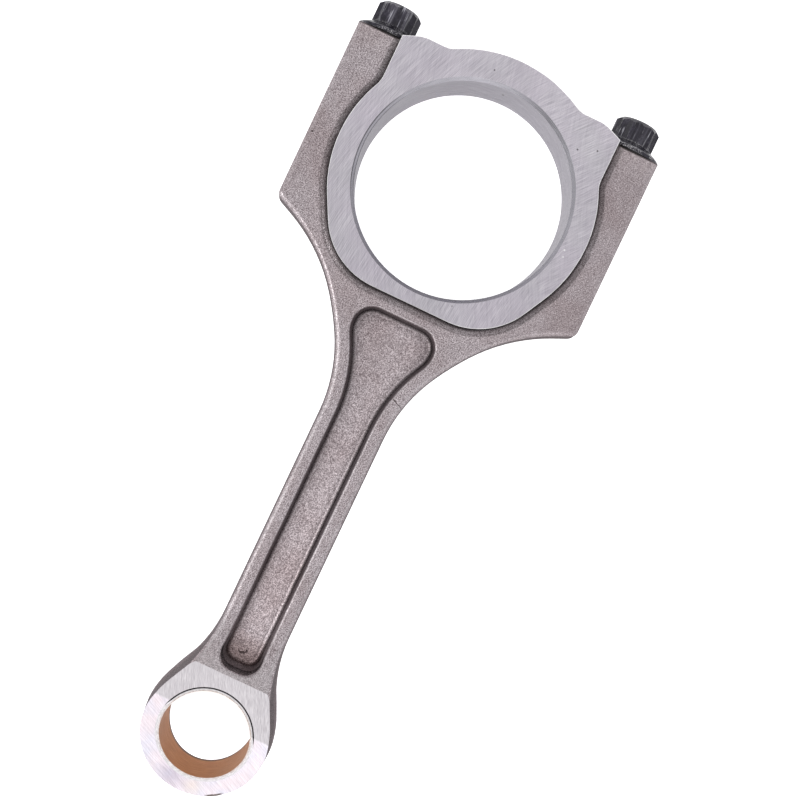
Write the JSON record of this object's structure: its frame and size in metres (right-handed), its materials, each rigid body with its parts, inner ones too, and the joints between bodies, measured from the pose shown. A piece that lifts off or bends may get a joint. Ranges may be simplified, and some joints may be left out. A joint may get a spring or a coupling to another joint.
{
  "type": "engine connecting rod",
  "caption": "Forged steel I-section connecting rod with a split big end, bolted bearing cap, flanged twelve-point bolts and a tapered, bushed small end.",
  "frame": {"origin": "centre of the big-end bore at half the thickness of the rod, in the plane where cap and rod meet", "axes": "+X along the rod from the big end to the small end, +Y across it from the left bolt to the right bolt, +Z along the axes of both bores"},
  "size_m": [0.1946, 0.0808, 0.0226],
  "materials": {
    "forged_steel": "blasted forging with ground faces",
    "bush_steel": "fine turned steel",
    "bush_bronze": "satin bronze",
    "black_steel": "black oxide, satin"
  },
  "bodies": {
    "rod": {"rod_body": "forged_steel", "small_end_bush_backing": "bush_steel", "small_end_bush_lining": "bush_bronze"},
    "cap": {"bearing_cap": "forged_steel"},
    "bolt_left": {"cap_bolt_left": "black_steel"},
    "bolt_right": {"cap_bolt_right": "black_steel"}
  },
  "joints": [
    {"name": "cap_lift", "type": "slide", "parent": "rod", "child": "cap", "axis": [-1, 0, 0], "range_m": [0, 0.045]},
    {"name": "bolt_left_turn", "type": "hinge", "parent": "cap", "child": "bolt_left", "pos_m": [-0.0261, -0.0322, 0], "axis": [-1, 0, 0], "range_deg": [0, 16200]},
    {"name": "bolt_right_turn", "type": "hinge", "parent": "cap", "child": "bolt_right", "pos_m": [-0.0261, 0.0322, 0], "axis": [-1, 0, 0], "range_deg": [0, 16200]}
  ],
  "couplings": [
    {"joint": "bolt_left_turn", "follows": "cap_lift", "rad_per_m": 6283.2},
    {"joint": "bolt_right_turn", "follows": "cap_lift", "rad_per_m": 6283.2}
  ]
}
